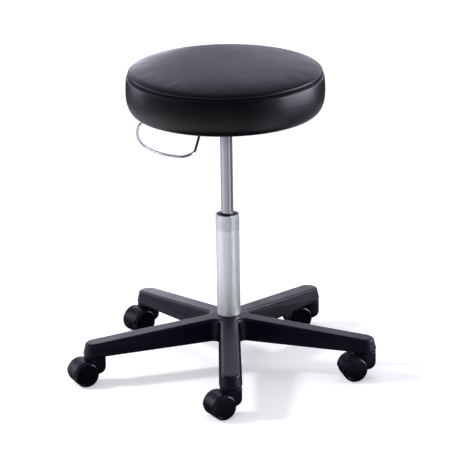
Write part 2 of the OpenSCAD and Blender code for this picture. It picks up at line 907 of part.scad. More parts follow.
// The room that one wheel turns in, from the web outwards
module wheel_arch(side) {
  translate([0, side * (web_t + hood_d) / 2, 0])
    across_axle(arch_r, hood_d);
}

module caster_body(k) color("#161618")
  caster_frame(k)
    difference() {
      union() {
        difference() {
          union() {
            hood_shape();
            fender_shape();
          }
          wheel_arch(1);
          wheel_arch(-1);
        }
        // Web between the wheels and the bosses that the wheels turn against
        across_axle(web_r, web_t);
        across_axle(boss_r, boss_t);
      }
      across_axle(axle_d / 2 + run_gap, wheel_d);
      translate([0, 0, stem_low_z - clear_gap])
        cylinder(r = stem_r + run_gap, h = hood_top_z - stem_low_z + overrun);
    }

module caster_axle(k) color("#b4b7bb")
  caster_frame(k)
    across_axle(axle_d / 2, axle_l);

// Half section of a wheel about its axle, from the inner face outwards
module wheel_section() {
  r = wheel_d / 2;
  inner = wheel_gap / 2;
  outer = inner + wheel_w;
  difference() {
    polygon(concat(
      [[0, inner], [r - wheel_chamfer, inner], [r, inner + wheel_chamfer]],
      [for (i = [0 : edge_steps])
        [r - wheel_edge_r + wheel_edge_r * cos(90 * i / edge_steps),
         outer - wheel_edge_r + wheel_edge_r * sin(90 * i / edge_steps)]],
      [[r - 2 * wheel_edge_r, outer], [r - 2.5 * wheel_edge_r, outer - wheel_face_dish],
       [0, outer - wheel_face_dish]]
    ));
    // Recess round the body's boss and the bore for the axle
    translate([0, inner - overrun])
      square([boss_r + 2 * clear_gap, boss_reach + clear_gap + overrun]);
    square([axle_d / 2 + run_gap, axle_l / 2 + clear_gap]);
  }
}

module caster_wheel(k, side) color("#101012")
  caster_frame(k)
    translate([caster_trail, 0, axle_z])
      rotate([-90 * side, 0, 0])
        rotate_extrude()
          wheel_section();

seat_cover();
seat_foam();
seat_board();
tee_nuts();
seat_plate();
plate_screws();
taper_socket();
release_tongue();
release_ring();
lever_pin();
pin_clips();
valve_button();
pressure_tube();
rod_guide();
rod_seal();
piston();
piston_rod();
rod_collar();
rod_bumper();
bearing_balls();
bearing_race();
column_foot();
rod_washer();
rod_clip();
column_tube();
guide_bush();
column_band();
base_star();
grip_rings();
caster_stem(0);  // caster_stem_1
caster_stem(1);  // caster_stem_2
caster_stem(2);  // caster_stem_3
caster_stem(3);  // caster_stem_4
caster_stem(4);  // caster_stem_5
caster_body(0);  // caster_body_1
caster_body(1);  // caster_body_2
caster_body(2);  // caster_body_3
caster_body(3);  // caster_body_4
caster_body(4);  // caster_body_5
caster_axle(0);  // caster_axle_1
caster_axle(1);  // caster_axle_2
caster_axle(2);  // caster_axle_3
caster_axle(3);  // caster_axle_4
caster_axle(4);  // caster_axle_5
caster_wheel(0, -1);  // inner_wheel_1
caster_wheel(1, -1);  // inner_wheel_2
caster_wheel(2, -1);  // inner_wheel_3
caster_wheel(3, -1);  // inner_wheel_4
caster_wheel(4, -1);  // inner_wheel_5
caster_wheel(0, 1);  // outer_wheel_1
caster_wheel(1, 1);  // outer_wheel_2
caster_wheel(2, 1);  // outer_wheel_3
caster_wheel(3, 1);  // outer_wheel_4
caster_wheel(4, 1);  // outer_wheel_5
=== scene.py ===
"""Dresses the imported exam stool: its cushion, casters, small parts, finishes, light and camera.

Everything is in metres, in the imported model's frame: +Z up, the origin on the column's axis
at floor level, and the arm that points at the viewer along -Y.
"""

from __future__ import annotations

import json
import logging
import math
import random
from dataclasses import dataclass, field
from enum import Enum
from typing import Iterable, Sequence

import bpy
from mathutils import Matrix, Vector


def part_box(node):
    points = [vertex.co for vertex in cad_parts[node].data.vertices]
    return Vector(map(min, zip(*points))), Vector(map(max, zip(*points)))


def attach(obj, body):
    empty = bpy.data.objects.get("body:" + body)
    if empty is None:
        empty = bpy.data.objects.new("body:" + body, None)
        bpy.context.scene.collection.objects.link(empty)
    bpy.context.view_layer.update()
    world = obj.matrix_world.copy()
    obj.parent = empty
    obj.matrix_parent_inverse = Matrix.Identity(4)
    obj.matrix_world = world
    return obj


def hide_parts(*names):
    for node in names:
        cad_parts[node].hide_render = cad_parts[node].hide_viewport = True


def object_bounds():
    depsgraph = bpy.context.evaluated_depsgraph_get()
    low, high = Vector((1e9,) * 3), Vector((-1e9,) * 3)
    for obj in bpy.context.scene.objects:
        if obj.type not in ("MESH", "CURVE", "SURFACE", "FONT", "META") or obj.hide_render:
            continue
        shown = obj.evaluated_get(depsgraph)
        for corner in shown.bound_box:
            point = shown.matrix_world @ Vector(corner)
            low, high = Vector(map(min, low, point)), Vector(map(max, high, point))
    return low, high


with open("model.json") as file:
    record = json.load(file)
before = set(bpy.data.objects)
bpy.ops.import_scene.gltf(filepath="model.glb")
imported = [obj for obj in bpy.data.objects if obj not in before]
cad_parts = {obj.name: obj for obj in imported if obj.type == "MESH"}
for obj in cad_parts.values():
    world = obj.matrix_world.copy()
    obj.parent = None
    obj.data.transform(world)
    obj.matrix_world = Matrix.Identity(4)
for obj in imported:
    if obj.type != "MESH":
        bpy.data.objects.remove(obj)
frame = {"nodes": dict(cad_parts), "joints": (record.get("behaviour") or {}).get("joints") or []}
CAD_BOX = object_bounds()

LOG = logging.getLogger("exam_stool")
MM = 0.001
FLOAT = "NodeSocketFloat"
VECTOR = "NodeSocketVector"
WHITE = (1.0, 1.0, 1.0, 1.0)

Colour = tuple[float, float, float, float]
Outline = list[tuple[float, float]]


class Slot(Enum):
    """The record's material slots that new pieces take their finish from."""

    VINYL = "black_vinyl"
    ZINC = "zinc_steel"
    WHEEL = "wheel_nylon"


class Ray(Enum):
    """The Light Path outputs that the floor and the surround read."""

    CAMERA = "Is Camera Ray"
    GLOSSY = "Is Glossy Ray"
    TRANSMISSION = "Is Transmission Ray"


class Use(Enum):
    """What a lamp is for."""

    LIGHT = "lights matt surfaces and casts the shadow on the floor"
    SHINE = "shows in glossy surfaces"


# Modelling helpers


def deselect_all() -> None:
    """Leave edit mode and deselect every object."""
    if bpy.context.object is not None and bpy.context.object.mode != "OBJECT":
        bpy.ops.object.mode_set(mode="OBJECT")
    bpy.ops.object.select_all(action="DESELECT")


def make_active(piece: bpy.types.Object) -> None:
    """Select one object alone and make it the active one.

    Args:
        piece: The object.
    """
    deselect_all()
    piece.select_set(True)
    bpy.context.view_layer.objects.active = piece


def apply_place(piece: bpy.types.Object) -> None:
    """Move the object's place, turn and scale into its mesh."""
    make_active(piece)
    bpy.ops.object.transform_apply(location=True, rotation=True, scale=True)


def apply_modifier(piece: bpy.types.Object, kind: str, **settings: object) -> None:
    """Add one modifier and apply it at once.

    Args:
        piece: The mesh object.
        kind: The modifier's type, such as BEVEL.
        settings: Values for the modifier's properties.
    """
    make_active(piece)
    modifier = piece.modifiers.new(kind.lower(), kind)
    for name, value in settings.items():
        setattr(modifier, name, value)
    bpy.ops.object.modifier_apply(modifier=modifier.name)


def smooth(piece: bpy.types.Object, angle_deg: float) -> None:
    """Shade smooth, with edges sharper than an angle kept hard."""
    make_active(piece)
    bpy.ops.object.shade_smooth_by_angle(angle=math.radians(angle_deg))


def recalculate_normals(piece: bpy.types.Object) -> None:
    """Merge doubles and point every face outwards.

    Args:
        piece: The mesh object.
    """
    make_active(piece)
    bpy.ops.object.mode_set(mode="EDIT")
    bpy.ops.mesh.select_all(action="SELECT")
    bpy.ops.mesh.remove_doubles(threshold=1e-6)
    bpy.ops.mesh.normals_make_consistent(inside=False)
    bpy.ops.object.mode_set(mode="OBJECT")


def lathe(name: str, outline: Outline, segments: int) -> bpy.types.Object:
    """Turn a half outline round the Z axis, as a circle that is extruded and scaled ring by ring.

    Args:
        name: The new object's name.
        outline: Radius and height of each ring. A radius of zero at the end closes it in a point,
            and any other end is closed by a flat face.
        segments: Number of points round each ring.

    Returns:
        A closed mesh object at the origin.
    """
    ring_r, ring_z = outline[0]
    deselect_all()
    bpy.ops.mesh.primitive_circle_add(
        vertices=segments, radius=ring_r, fill_type="NGON", location=(0, 0, ring_z)
    )
    piece = bpy.context.object
    piece.name = name
    apply_place(piece)
    bpy.ops.object.mode_set(mode="EDIT")
    bpy.ops.mesh.select_mode(type="EDGE")
    bpy.ops.mesh.select_all(action="SELECT")
    bpy.ops.mesh.region_to_loop()
    for next_r, next_z in outline[1:]:
        bpy.ops.mesh.extrude_edges_move(
            TRANSFORM_OT_translate={"value": (0, 0, next_z - ring_z)}
        )
        if next_r == 0:
            bpy.ops.mesh.merge(type="CENTER")
            break
        share = next_r / ring_r
        bpy.ops.transform.resize(value=(share, share, 1), center_override=(0, 0, next_z))
        ring_r, ring_z = next_r, next_z
    else:
        bpy.ops.mesh.edge_face_add()
    bpy.ops.object.mode_set(mode="OBJECT")
    recalculate_normals(piece)
    return piece


def arc(
    centre: tuple[float, float], radius: float, start_deg: float, end_deg: float, steps: int
) -> Outline:
    """Points along an arc in the radius and height plane, both ends included."""
    turns = [math.radians(start_deg + (end_deg - start_deg) * i / steps) for i in range(steps + 1)]
    return [(centre[0] + radius * math.cos(t), centre[1] + radius * math.sin(t)) for t in turns]


def turned_copy(piece: bpy.types.Object, name: str, place: Matrix) -> bpy.types.Object:
    """Copy a piece with its own mesh and put the copy's place into that mesh.

    Args:
        piece: The piece that is modelled once.
        name: The copy's name.
        place: Where the copy goes.

    Returns:
        The copy, with its object at the origin.
    """
    copy = piece.copy()
    copy.data = piece.data.copy()
    copy.name = name
    bpy.context.scene.collection.objects.link(copy)
    copy.data.transform(place)
    return copy


def ring_of(piece: bpy.types.Object, count: int) -> bpy.types.Object:
    """Repeat a piece round the Z axis and join the copies into one mesh.

    Args:
        piece: The first one, placed in its mesh.
        count: How many there are in all.

    Returns:
        The joined piece, under the first one's name.
    """
    copies = [
        turned_copy(piece, f"{piece.name}.{i}", Matrix.Rotation(2 * math.pi * i / count, 4, "Z"))
        for i in range(1, count)
    ]
    make_active(piece)
    for copy in copies:
        copy.select_set(True)
    bpy.ops.object.join()
    return piece


def finish_piece(
    piece: bpy.types.Object, body: str, replaced: Iterable[str] = ()
) -> None:
    """Hang a finished piece on its body and report it.

    Args:
        piece: The finished mesh object.
        body: The CAD body that it moves with.
        replaced: CAD nodes that it stands for.
    """
    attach(piece, body)
    replaced = list(replaced)
    if replaced:
        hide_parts(*replaced)
    LOG.info("%s rides on %s, %d faces", piece.name, body, len(piece.data.polygons))


# Node graphs


@dataclass(frozen=True)
class Fade:
    """A clamped change from one level to another, as a value goes from start to end."""

    start: float
    end: float
    at_start: float = 0.0
    at_end: float = 1.0


def grey(value: float) -> Colour:
    """A grey as a linear colour."""
    return (value, value, value, 1.0)


def shade(colour: Colour, share: float) -> Colour:
    """A colour made darker or paler by a share."""
    return tuple(channel * share for channel in colour[:3]) + (1.0,)


class Graph:
    """A thin, typed way to build a node tree."""

    def __init__(self, tree: bpy.types.NodeTree) -> None:
        """Start with the tree to build in."""
        self.tree = tree

    def add(self, kind: str, **inputs: object) -> bpy.types.Node:
        """Add a node.

        Args:
            kind: The node's type without the ShaderNode prefix.
            inputs: Socket values by name, with _ for spaces; a socket is linked, and a name that
                starts with set_ is a property of the node.

        Returns:
            The new node.
        """
        node = self.tree.nodes.new("ShaderNode" + kind)
        for name, value in inputs.items():
            if name.startswith("set_"):
                setattr(node, name.removeprefix("set_"), value)
        for name, value in inputs.items():
            if not name.startswith("set_"):
                self.feed(node, name.replace("_", " "), value)
        return node

    def effect(self, tree: bpy.types.NodeTree, **inputs: object) -> bpy.types.Node:
        """Place a shared effect.

        Args:
            tree: The effect's node group.
            inputs: Socket values by name, with _ for spaces.

        Returns:
            The group's node.
        """
        node = self.tree.nodes.new("ShaderNodeGroup")
        node.node_tree = tree
        for name, value in inputs.items():
            self.feed(node, name.replace("_", " "), value)
        return node

    def feed(self, node: bpy.types.Node, socket: str | int, value: object) -> None:
        """Set a socket's value, or link another node's socket to it.

        Args:
            node: The node that has the socket.
            socket: The input's name or index.
            value: A plain value, or the output that feeds it.
        """
        if isinstance(value, bpy.types.NodeSocket):
            self.tree.links.new(value, node.inputs[socket])
        else:
            node.inputs[socket].default_value = value

    def math(self, operation: str, *values: object, clamp: bool = False) -> bpy.types.NodeSocket:
        """Add a Math node.

        Args:
            operation: The node's operation, such as ADD.
            values: Its inputs, plain or linked.
            clamp: Whether the result is kept between 0 and 1.

        Returns:
            The node's value.
        """
        node = self.add("Math", set_operation=operation, set_use_clamp=clamp)
        for index, value in enumerate(values):
            self.feed(node, index, value)
        return node.outputs[0]

    def fade(self, value: object, fade: Fade) -> bpy.types.NodeSocket:
        """Map a value to the levels of a fade."""
        node = self.add(
            "MapRange", Value=value, From_Min=fade.start, From_Max=fade.end,
            To_Min=fade.at_start, To_Max=fade.at_end,
        )
        return node.outputs[0]

    def noise(
        self, vector: object, scale: object, detail: float = 2.0, roughness: float = 0.5
    ) -> bpy.types.NodeSocket:
        """Add a noise texture and return its value."""
        node = self.add("TexNoise", Vector=vector, Scale=scale, Detail=detail, Roughness=roughness)
        return node.outputs["Fac"]

    def ramp(self, value: object, stops: Sequence[tuple[float, float]]) -> bpy.types.NodeSocket:
        """Turn a value from 0 to 1 into a grey.

        Args:
            value: The value.
            stops: Places from 0 to 1 and the level at each.

        Returns:
            The grey at the value's place.
        """
        node = self.add("ValToRGB", Fac=value)
        elements = node.color_ramp.elements
        elements[0].position, elements[0].color = 0.0, grey(stops[0][1])
        elements[1].position, elements[1].color = 1.0, grey(stops[-1][1])
        for place, level in stops:
            elements.new(place).color = grey(level)
        return node.outputs["Color"]

    def mix_colour(self, factor: object, a: object, b: object) -> bpy.types.NodeSocket:
        """Mix two colours.

        Args:
            factor: Share of the second colour.
            a: The first colour.
            b: The second colour.

        Returns:
            The mixed colour.
        """
        # The Mix node gives the sockets of each data type the same names, so they go by number
        node = self.add("Mix", set_data_type="RGBA")
        self.feed(node, 0, factor)
        self.feed(node, 6, a)
        self.feed(node, 7, b)
        return node.outputs[2]

    def mix_value(self, factor: object, a: object, b: object) -> bpy.types.NodeSocket:
        """Mix two values.

        Args:
            factor: Share of the second value.
            a: The first value.
            b: The second value.

        Returns:
            The mixed value.
        """
        node = self.add("Mix")
        self.feed(node, 0, factor)
        self.feed(node, 2, a)
        self.feed(node, 3, b)
        return node.outputs[0]

    def length(self, vector: object) -> bpy.types.NodeSocket:
        """The length of a vector."""
        return self.add("VectorMath", set_operation="LENGTH", Vector=vector).outputs["Value"]

    def ray_is(self, *rays: Ray) -> bpy.types.NodeSocket:
        """Tell rays of some kinds from all others.

        Args:
            rays: The kinds.

        Returns:
            One where a ray is of any of the kinds, and zero elsewhere.
        """
        path = self.add("LightPath")
        value = path.outputs[rays[0].value]
        for ray in rays[1:]:
            value = self.math("MAXIMUM", value, path.outputs[ray.value])
        return value


def new_group(
    name: str, inputs: dict[str, tuple[str, object]], outputs: dict[str, str]
) -> tuple[bpy.types.NodeTree, Graph, bpy.types.Node, bpy.types.Node]:
    """Make an empty shader node group with named sockets.

    Args:
        name: The group's name.
        inputs: Socket type and default by name.
        outputs: Socket type by name.

    Returns:
        The tree, a graph on it, its input node and its output node.
    """
    tree = bpy.data.node_groups.new(name, "ShaderNodeTree")
    for socket, (kind, default) in inputs.items():
        item = tree.interface.new_socket(socket, in_out="INPUT", socket_type=kind)
        if default is not None:
            item.default_value = default
    for socket, kind in outputs.items():
        tree.interface.new_socket(socket, in_out="OUTPUT", socket_type=kind)
    graph = Graph(tree)
    source = tree.nodes.new("NodeGroupInput")
    sink = tree.nodes.new("NodeGroupOutput")
    return tree, graph, source, sink


@dataclass
class Effects:
    """Effects that several finishes share, each a node group built once."""

    fine_share: float = 2.7
    scratch_stretch: tuple[float, float, float] = (0.08, 1.0, 0.6)
    scratches: Fade = Fade(0.6, 0.72)
    lying: Fade = Fade(0.6, 1.0)
    speck_scale: float = 240.0
    specks: Fade = Fade(0.35, 0.75, 0.3, 1.0)
    fine_grain: bpy.types.NodeTree = field(init=False)
    handling: bpy.types.NodeTree = field(init=False)
    fall_dust: bpy.types.NodeTree = field(init=False)

    def __post_init__(self) -> None:
        """Build every group."""
        self.fine_grain = self.build_fine_grain()
        self.handling = self.build_handling()
        self.fall_dust = self.build_fall_dust()

    def build_fine_grain(self) -> bpy.types.NodeTree:
        """Make a spark-eroded mould texture from a coarse and a fine noise.

        Returns:
            The group, which puts out a height.
        """
        tree, g, source, sink = new_group(
            "fine_grain",
            {"Vector": (VECTOR, None), "Scale": (FLOAT, 1500.0), "Fineness": (FLOAT, 0.5)},
            {"Height": FLOAT},
        )
        vector = source.outputs["Vector"]
        scale = source.outputs["Scale"]
        coarse = g.noise(vector, scale)
        fine = g.noise(vector, g.math("MULTIPLY", scale, self.fine_share), 1.0)
        scaled = g.math("MULTIPLY", fine, source.outputs["Fineness"])
        g.feed(sink, "Height", g.math("ADD", coarse, scaled))
        return tree

    def build_handling(self) -> bpy.types.NodeTree:
        """Make the soft blotches and fine scratches that a used surface has.

        Returns:
            The group, which puts out a mask of each.
        """
        tree, g, source, sink = new_group(
            "handling",
            {"Vector": (VECTOR, None), "Patch Scale": (FLOAT, 14.0), "Scratch Scale": (FLOAT, 320.0)},
            {"Patches": FLOAT, "Scratches": FLOAT},
        )
        vector = source.outputs["Vector"]
        stretched = g.add("Mapping", Vector=vector, Scale=self.scratch_stretch).outputs[0]
        scratch = g.noise(stretched, source.outputs["Scratch Scale"], 4.0)
        g.feed(sink, "Patches", g.noise(vector, source.outputs["Patch Scale"], 3.0))
        g.feed(sink, "Scratches", g.fade(scratch, self.scratches))
        return tree

    def build_fall_dust(self) -> bpy.types.NodeTree:
        """Make a faint film of dust where a surface faces up.

        Returns:
            The group, which puts out a mask.
        """
        tree, g, source, sink = new_group(
            "fall_dust", {"Vector": (VECTOR, None), "Amount": (FLOAT, 0.2)}, {"Mask": FLOAT}
        )
        normal = g.add("NewGeometry").outputs["Normal"]
        up = g.add("SeparateXYZ", Vector=normal).outputs["Z"]
        specks = g.noise(source.outputs["Vector"], self.speck_scale, 4.0)
        film = g.math("MULTIPLY", g.fade(up, self.lying), g.fade(specks, self.specks))
        g.feed(sink, "Mask", g.math("MULTIPLY", film, source.outputs["Amount"]))
        return tree


# Finishes


@dataclass(frozen=True)
class Finish:
    """One finish: plain values, and a build method that makes the material."""

    name: str
    colour: Colour
    roughness: float
    smoother: float = 0.0
    rougher: float = 0.0
    patches: Fade = Fade(0.3, 0.7)

    def start(self) -> tuple[bpy.types.Material, Graph, bpy.types.Node, bpy.types.NodeSocket]:
        """Make the material with its shader and Object coordinates.

        Returns:
            The material, a graph, the Principled shader and the coordinate socket.
        """
        material = bpy.data.materials.new(self.name)
        material.use_nodes = True
        material.node_tree.nodes.clear()
        g = Graph(material.node_tree)
        shader = g.add("BsdfPrincipled", Roughness=self.roughness, Base_Color=self.colour)
        g.add("OutputMaterial", Surface=shader.outputs[0])
        coords = g.add("TexCoord").outputs["Object"]
        return material, g, shader, coords

    def uneven(self, g: Graph, mask: bpy.types.NodeSocket) -> bpy.types.NodeSocket:
        """Roughness that drifts with a mask, from a little smoother to a little rougher."""
        limits = Fade(
            self.patches.start, self.patches.end,
            self.roughness - self.smoother, self.roughness + self.rougher,
        )
        return g.fade(mask, limits)

    def build(self, effects: Effects) -> bpy.types.Material:
        """Make the material. Each finish has its own way."""
        raise NotImplementedError


@dataclass(frozen=True)
class VinylFinish(Finish):
    """Upholstery vinyl: a pebbled grain, shallow waves and slight wear in patches."""

    smoother: float = 0.03
    rougher: float = 0.06
    pebble: float = 700.0
    crease_share: float = 0.42
    creases: Fade = Fade(0.0, 0.12)
    pebble_depth: float = -0.6
    relief: float = 0.05 * MM
    relief_strength: float = 0.35
    waves: float = 45.0
    wave_depth: float = 0.4 * MM
    wave_strength: float = 0.5
    patch_scale: float = 9.0
    scratch_scale: float = 260.0
    worn: Fade = Fade(0.35, 0.7)
    worn_share: float = 1.5
    gloss: float = 0.24

    def build(self, effects: Effects) -> bpy.types.Material:
        """Make the vinyl.

        Args:
            effects: The shared effects.

        Returns:
            The material.
        """
        material, g, shader, coords = self.start()
        cells = g.add("TexVoronoi", Vector=coords, Scale=self.pebble, Randomness=1.0)
        creases = g.add(
            "TexVoronoi", Vector=coords, Scale=self.pebble * self.crease_share,
            set_feature="DISTANCE_TO_EDGE",
        )
        pebbles = g.math("MULTIPLY", cells.outputs["Distance"], self.pebble_depth)
        height = g.math("ADD", pebbles, g.fade(creases.outputs["Distance"], self.creases))
        waved = g.add(
            "Bump", Height=g.noise(coords, self.waves, 3.0), Strength=self.wave_strength,
            Distance=self.wave_depth,
        )
        bump = g.add(
            "Bump", Height=height, Strength=self.relief_strength, Distance=self.relief,
            Normal=waved.outputs[0],
        )
        handling = g.effect(
            effects.handling, Vector=coords, Patch_Scale=self.patch_scale,
            Scratch_Scale=self.scratch_scale,
        )
        patches = handling.outputs["Patches"]
        paler = shade(self.colour, self.worn_share)
        g.feed(shader, "Roughness", self.uneven(g, patches))
        g.feed(shader, "Base Color", g.mix_colour(g.fade(patches, self.worn), self.colour, paler))
        g.feed(shader, "Normal", bump.outputs[0])
        g.feed(shader, "Specular IOR Level", self.gloss)
        return material


@dataclass(frozen=True)
class NylonFinish(Finish):
    """Moulded nylon: a fine mould texture, scuffs, and dust where it faces up."""

    smoother: float = 0.05
    rougher: float = 0.07
    grain: float = 1500.0
    relief: float = 0.06 * MM
    relief_strength: float = 0.5
    dust: float = 0.0
    dust_colour: Colour = (0.32, 0.32, 0.33, 1.0)
    scuffs: float = 0.04
    scuff_colour: Colour = (0.12, 0.12, 0.12, 1.0)
    gloss: float = 0.4

    def build(self, effects: Effects) -> bpy.types.Material:
        """Make the nylon.

        Args:
            effects: The shared effects.

        Returns:
            The material.
        """
        material, g, shader, coords = self.start()
        texture = g.effect(effects.fine_grain, Vector=coords, Scale=self.grain)
        handling = g.effect(effects.handling, Vector=coords)
        dust = g.effect(effects.fall_dust, Vector=coords, Amount=self.dust)
        scuffed = g.math("MULTIPLY", handling.outputs["Scratches"], self.scuffs)
        roughness = self.uneven(g, handling.outputs["Patches"])
        worn = g.mix_colour(scuffed, self.colour, self.scuff_colour)
        bump = g.add(
            "Bump", Height=texture.outputs["Height"], Strength=self.relief_strength,
            Distance=self.relief,
        )
        g.feed(shader, "Roughness", g.math("ADD", roughness, scuffed, clamp=True))
        g.feed(shader, "Base Color", g.mix_colour(dust.outputs["Mask"], worn, self.dust_colour))
        g.feed(shader, "Normal", bump.outputs[0])
        g.feed(shader, "Specular IOR Level", self.gloss)
        return material


@dataclass(frozen=True)
class MetalFinish(Finish):
    """Plated or bare metal: brushing or polish lines round or along the part, and slight tarnish."""

    metallic: float = 1.0
    lines: tuple[float, float, float] = (1.0, 1.0, 0.02)
    line_scale: float = 900.0
    relief: float = 0.01 * MM
    tarnish: float = 0.12
    grooves: float = 0.25
    marks: float = 0.06
    patch_scale: float = 22.0
    scratch_scale: float = 400.0

    def build(self, effects: Effects) -> bpy.types.Material:
        """Make the metal.

        Args:
            effects: The shared effects.

        Returns:
            The material.
        """
        material, g, shader, coords = self.start()
        stretched = g.add("Mapping", Vector=coords, Scale=self.lines).outputs[0]
        brushed = g.noise(stretched, self.line_scale, 3.0)
        handling = g.effect(
            effects.handling, Vector=coords, Patch_Scale=self.patch_scale,
            Scratch_Scale=self.scratch_scale,
        )
        rough = g.fade(brushed, Fade(
            self.patches.start, self.patches.end,
            self.roughness * (1 - self.grooves), self.roughness * (1 + self.grooves),
        ))
        marks = g.math("MULTIPLY", handling.outputs["Scratches"], self.marks)
        dull = shade(self.colour, 1 - self.tarnish)
        dulled = g.fade(handling.outputs["Patches"], self.patches)
        bump = g.add("Bump", Height=brushed, Strength=self.grooves, Distance=self.relief)
        g.feed(shader, "Roughness", g.math("ADD", rough, marks, clamp=True))
        g.feed(shader, "Base Color", g.mix_colour(dulled, self.colour, dull))
        g.feed(shader, "Metallic", self.metallic)
        g.feed(shader, "Normal", bump.outputs[0])
        return material


@dataclass(frozen=True)
class PlyFinish(Finish):
    """Plywood: long grain on the faces and layers on the edge."""

    grain_stretch: tuple[float, float, float] = (3.0, 60.0, 3.0)
    grain_scale: float = 6.0
    grain_detail: float = 5.0
    grain_sharpness: float = 0.6
    grain_share: float = 0.6
    grain_strength: float = 0.4
    grain_depth: float = 0.1 * MM
    layer: float = 2.1 * MM
    glue_line: tuple[float, float] = (0.45, 0.55)
    glue_share: float = 0.5
    dark_share: float = 0.55

    def build(self, effects: Effects) -> bpy.types.Material:
        """Make the plywood.

        Args:
            effects: The shared effects, none of which plywood needs.

        Returns:
            The material.
        """
        material, g, shader, coords = self.start()
        along = g.add("Mapping", Vector=coords, Scale=self.grain_stretch).outputs[0]
        rings = g.noise(along, self.grain_scale, self.grain_detail, self.grain_sharpness)
        height = g.add("SeparateXYZ", Vector=coords).outputs["Z"]
        layers = g.math("PINGPONG", height, self.layer)
        glue_from, glue_to = (self.layer * share for share in self.glue_line)
        band = g.fade(layers, Fade(glue_from, glue_to, 0.0, self.glue_share))
        mask = g.math("ADD", g.math("MULTIPLY", rings, self.grain_share), band, clamp=True)
        dark = shade(self.colour, self.dark_share)
        bump = g.add("Bump", Height=rings, Strength=self.grain_strength, Distance=self.grain_depth)
        g.feed(shader, "Base Color", g.mix_colour(mask, self.colour, dark))
        g.feed(shader, "Normal", bump.outputs[0])
        return material


class Finishes:
    """Every finish of the stool, built once and handed out by name."""

    def __init__(self) -> None:
        """Build the materials."""
        effects = Effects()
        self.vinyl = VinylFinish("vinyl_black", (0.0016, 0.0013, 0.0024, 1), 0.3).build(effects)
        self.thread = NylonFinish(
            "thread_black", grey(0.008), 0.6, grain=3000.0, gloss=0.2
        ).build(effects)
        self.base = NylonFinish("base_nylon", (0.0019, 0.001, 0.0066, 1), 0.33, gloss=0.24).build(effects)
        self.hood = NylonFinish(
            "hood_nylon", (0.0025, 0.0016, 0.0066, 1), 0.36, grain=2200.0, gloss=0.16
        ).build(effects)
        self.wheel_face = NylonFinish(
            "wheel_face_nylon", (0.002, 0.0014, 0.005, 1), 0.175, grain=2600.0, relief=0.02 * MM,
            gloss=0.34,
        ).build(effects)
        self.tread = NylonFinish(
            "tread_nylon", (0.009, 0.008, 0.013, 1), 0.5, grain=1300.0, dust=0.04, scuffs=0.1
        ).build(effects)
        self.rubber = NylonFinish("rubber_black", grey(0.012), 0.7, grain=2000.0, dust=0.04).build(effects)
        self.acetal = NylonFinish("bush_acetal", grey(0.006), 0.45, grain=3000.0, gloss=0.15).build(effects)
        self.column = MetalFinish(
            "column_satin_silver", (0.69, 0.72, 0.715, 1), 0.27, metallic=0.5, lines=(1, 1, 0.004),
            tarnish=0.04, grooves=0.03, marks=0.0,
        ).build(effects)
        self.band = MetalFinish(
            "band_film", (0.6, 0.62, 0.63, 1), 0.3, metallic=0.6, lines=(0.02, 0.02, 1), line_scale=1400.0
        ).build(effects)
        self.rod = MetalFinish(
            "tube_chrome", (0.32, 0.335, 0.355, 1), 0.06, lines=(1, 1, 0.004), tarnish=0.06, grooves=0.12
        ).build(effects)
        self.ring = MetalFinish(
            "ring_chrome", (0.46, 0.46, 0.5, 1), 0.1, lines=(1, 1, 1), tarnish=0.08, grooves=0.1
        ).build(effects)
        self.zinc = MetalFinish("zinc_plate", (0.52, 0.54, 0.57, 1), 0.36, tarnish=0.2).build(effects)
        self.dark_steel = MetalFinish("spring_steel", (0.16, 0.16, 0.17, 1), 0.4, tarnish=0.3).build(effects)
        self.brass = MetalFinish("button_brass", (0.6, 0.44, 0.17, 1), 0.3, lines=(1, 1, 0.2)).build(effects)
        self.powder = NylonFinish(
            "powder_black", grey(0.01), 0.4, grain=900.0, relief=0.1 * MM
        ).build(effects)
        self.ply = PlyFinish("plywood", (0.52, 0.36, 0.19, 1), 0.6).build(effects)
        self.foam = NylonFinish(
            "seat_foam", (0.68, 0.56, 0.33, 1), 0.9, grain=600.0, relief=1 * MM, gloss=0.1
        ).build(effects)

    def by_kind(self) -> dict[str, bpy.types.Material]:
        """The finish of each kind of CAD node: its name without the number at its end."""
        return {
            "seat_foam": self.foam, "seat_cover": self.vinyl, "seat_board": self.ply,
            "seat_plate": self.powder, "taper_socket": self.powder, "release_tongue": self.powder,
            "tee_nuts": self.zinc, "plate_screws": self.zinc, "lever_pin": self.zinc,
            "pin_clips": self.dark_steel, "valve_button": self.brass, "release_ring": self.ring,
            "pressure_tube": self.rod, "piston_rod": self.rod, "piston": self.dark_steel,
            "rod_guide": self.dark_steel, "rod_seal": self.rubber, "rod_bumper": self.rubber,
            "rod_collar": self.zinc, "rod_washer": self.zinc, "rod_clip": self.dark_steel,
            "bearing_balls": self.ring, "bearing_race": self.zinc, "column_foot": self.dark_steel,
            "column_tube": self.column, "guide_bush": self.acetal, "column_band": self.band,
            "base_star": self.base, "grip_rings": self.dark_steel, "caster_stem": self.zinc,
            "caster_axle": self.zinc, "caster_body": self.hood, "inner_wheel": self.wheel_face,
            "outer_wheel": self.wheel_face,
        }

    def dress(self, nodes: dict[str, bpy.types.Object]) -> None:
        """Give every CAD node its finish.

        Args:
            nodes: The CAD nodes by name.
        """
        materials = self.by_kind()
        for name, node in nodes.items():
            material = materials[name.rstrip("0123456789").rstrip("_")]
            if not node.data.materials:
                node.data.materials.append(material)
            for index in range(len(node.data.materials)):
                node.data.materials[index] = material


# The seat


